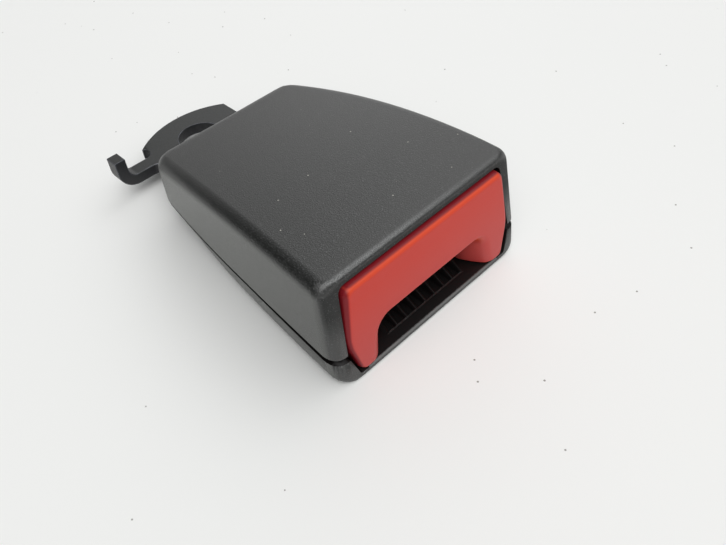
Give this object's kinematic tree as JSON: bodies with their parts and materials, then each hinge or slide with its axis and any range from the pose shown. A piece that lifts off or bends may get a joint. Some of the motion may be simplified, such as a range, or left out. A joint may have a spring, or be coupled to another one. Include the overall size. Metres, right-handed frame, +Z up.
{
  "type": "seat belt buckle",
  "caption": "End-release seat belt buckle: tapered charcoal plastic housing, red press button over the tongue slot, steel anchor plate with bolt hole and cable hook.",
  "frame": {"origin": "on the surface that the buckle lies on, under the middle of its length and width", "axes": "X across the buckle, +Y from the mouth to the anchor plate along the tongue's way in, +Z up through the upper cover"},
  "size_m": [0.057, 0.0962, 0.0268],
  "materials": {
    "charcoal_plastic": "satin moulded plastic with a very fine grain",
    "red_plastic": "satin moulded plastic",
    "black_plastic": "plain moulded plastic",
    "natural_plastic": "uncoloured sliding plastic",
    "coated_steel": "black coated steel, edges lightly worn",
    "zinc_steel": "zinc plated pressing",
    "hardened_steel": "plain hardened steel",
    "spring_steel": "drawn spring wire"
  },
  "bodies": {
    "housing": {"upper_cover": "charcoal_plastic", "lower_cover": "charcoal_plastic", "anchor_plate": "coated_steel", "frame_bracket": "zinc_steel", "frame_rivet_1": "zinc_steel", "frame_rivet_2": "zinc_steel", "frame_rivet_3": "zinc_steel", "frame_rivet_4": "zinc_steel", "latch_pivot_pin": "hardened_steel", "tongue_guide": "black_plastic", "button_spring_left": "spring_steel", "button_spring_right": "spring_steel", "ejector_spring": "spring_steel", "latch_spring": "spring_steel", "lock_spring_left": "spring_steel", "lock_spring_right": "spring_steel"},
    "button": {"release_button": "red_plastic"},
    "slider": {"ejector": "natural_plastic"},
    "catch": {"latch": "hardened_steel"},
    "bolt": {"lock_pin": "hardened_steel"}
  },
  "joints": [
    {"name": "button_press", "type": "slide", "parent": "housing", "child": "button", "axis": [0, 1, 0], "range_m": [0, 0.0045], "stiffness_N_per_m": 800, "springref_m": -0.003, "deforming": ["button_spring_left", "button_spring_right"]},
    {"name": "ejector_slide", "type": "slide", "parent": "housing", "child": "slider", "axis": [0, 1, 0], "range_m": [0, 0.012], "stiffness_N_per_m": 300, "springref_m": -0.006, "deforming": ["ejector_spring"]},
    {"name": "latch_pivot", "type": "hinge", "parent": "housing", "child": "catch", "pos_m": [0, -0.00092, 0.0144], "axis": [1, 0, 0], "range_deg": [0, 12], "deforming": ["latch_spring"]},
    {"name": "lock_pin_slide", "type": "slide", "parent": "housing", "child": "bolt", "axis": [0, -0.6924, -0.7215], "range_m": [0, 0.00578], "deforming": ["lock_spring_left", "lock_spring_right"]}
  ],
  "couplings": [
    {"joint": "latch_pivot", "follows": "ejector_slide", "rad_per_m": 17.453},
    {"joint": "lock_pin_slide", "follows": "ejector_slide", "ratio": 0.4814}
  ]
}
